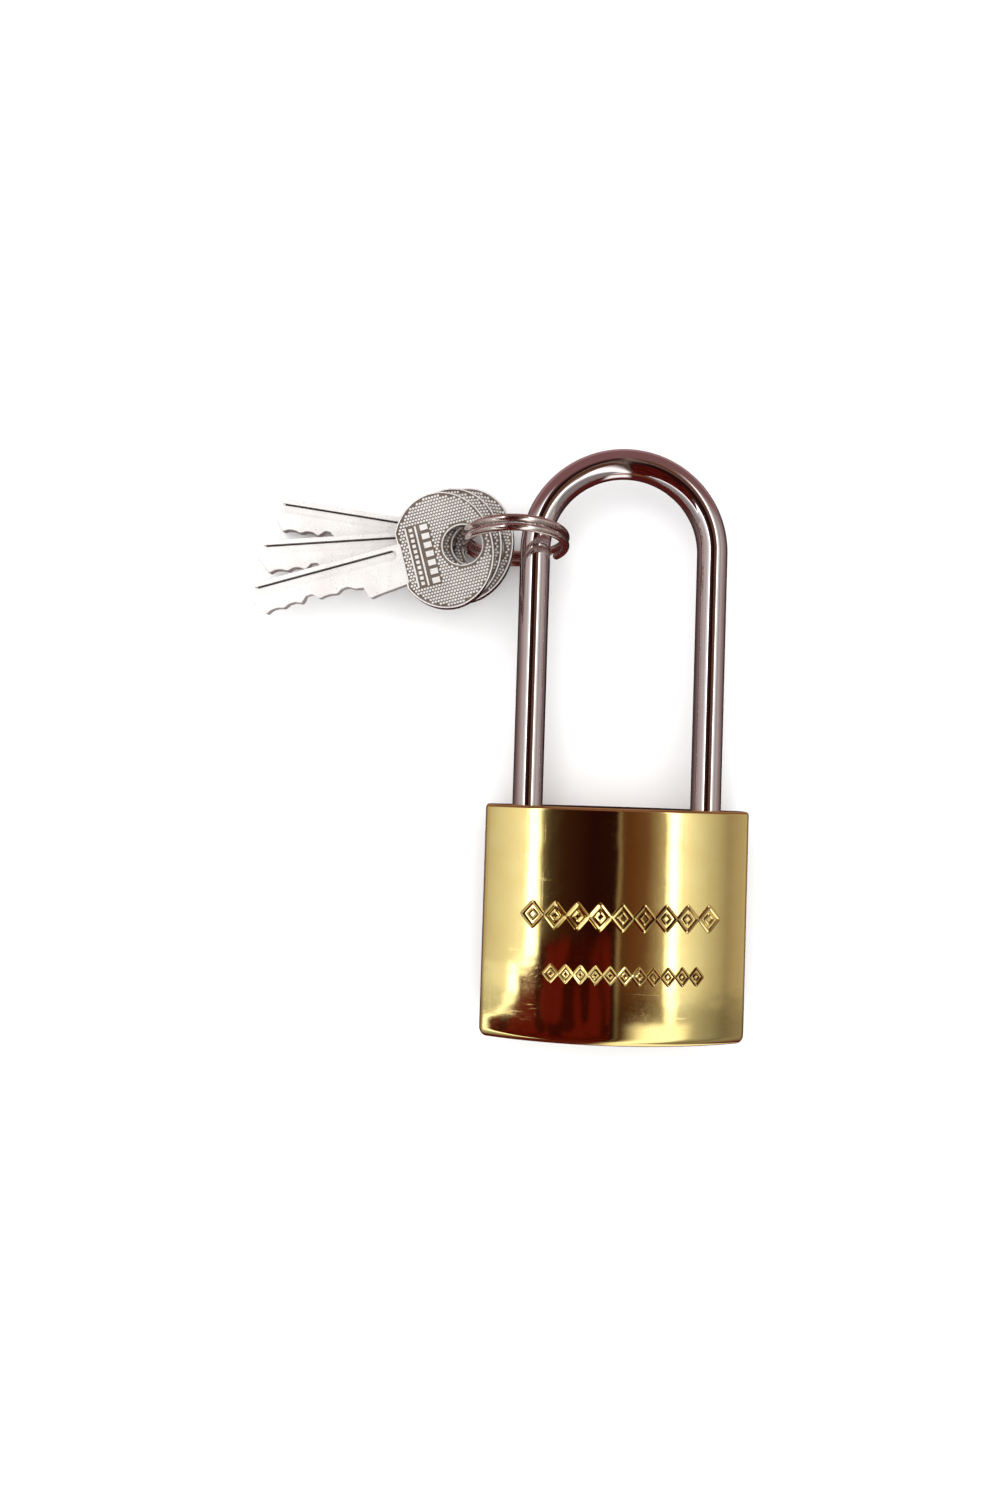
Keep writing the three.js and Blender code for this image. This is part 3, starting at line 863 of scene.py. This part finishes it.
def key_mesh():
    """One key: the bow and the grooved blade made one, with the knurling and the marks."""
    cutters = [groove_cutter(13.7 * MM, SPINE + 0.9 * MM, SPINE + 2.8 * MM, GROOVE_DEEP, 1),
               groove_cutter(17 * MM, 0.6 * MM, 2.0 * MM, 0.45 * MM, -1)]
    blank = carved(bow_shell(), [carved(blade_shell(), cutters)], "UNION")
    return joined("key", blank, knurl(1), knurl(-1), *bow_marks(1), *bow_marks(-1))


def groove_line():
    """A painted shadow: the dark line along the spine side of the front groove's floor."""
    floor = KEY_HALF - GROOVE_DEEP
    return block("groove_line", (13.4 * MM, SPINE + 0.88 * MM, floor - 0.05 * MM),
                 (KEY_TIP - 1.7 * MM, SPINE + 1.2 * MM, floor + 0.03 * MM))


def make_keys():
    """The three keys: each turned from flat into its place on the ring by the hinge that it
    swings on. The faces that stand across a key get painted shade, darker than its flats."""
    flat_key, flat_shade_plates, flat_line = key_mesh(), painted_shade_plates(), groove_line()
    steep, bow_end = 0.45, 13.4 * MM
    for n, fan in FANS.items():
        hinge = joints[f"key_{n}_swing"]
        up, middle = Vector(hinge["axis"]), Vector(hinge["pos_m"])
        slope = math.atan2(hinge["axis"][0], hinge["axis"][2])
        turn = (Matrix.Translation(middle) @ Matrix.Rotation(slope, 4, "Y")
                @ Matrix.Rotation(math.pi + math.radians(fan), 4, "Z"))
        mesh, recess, line = flat_key.copy(), flat_shade_plates.copy(), flat_line.copy()
        for placed in (mesh, recess, line):
            placed.transform(turn)
        key = piece(f"cut_key_{n}", mesh, f"key_{n}", LOOKS["nickel_plate"],
                    [f"key_{n}"], sharp=40)
        key.data.materials.append(LOOKS["blade_side_painted_shade"])
        key.data.materials.append(LOOKS["bow_side_painted_shade"])
        # Painted shade by facing: faces that stand across the key get the darker looks, brown on the bow and grey
        # on the blade.
        for face in key.data.polygons:
            if abs(face.normal.dot(up)) < steep:
                on_bow = (face.center - middle).length < bow_end
                face.material_index = 2 if on_bow else 1
        # Painted shade on the floor of the bow's sunk field.
        piece(f"bow_painted_shade_{n}", recess, f"key_{n}", LOOKS["field_painted_shade"])
        # A painted shadow line along the groove.
        piece(f"groove_line_{n}", line, f"key_{n}", LOOKS["groove_shadow"])


# ---- everything --------------------------------------------------------------------------
def finish_working_parts():
    """The working parts that keep their own shape get the finish of their slot."""
    for part in frame["record"]["subparts"]:
        mesh = frame["nodes"][part["node"]].data
        mesh.materials.clear()
        mesh.materials.append(LOOKS[part["material_slot"]])


add_camera()
add_floor()
add_surroundings()
add_lamp()
finish_working_parts()
make_body()
make_relief()
make_plug()
make_shackle()
make_ring()
make_keys()
bpy.context.scene.view_settings.view_transform = "Standard"
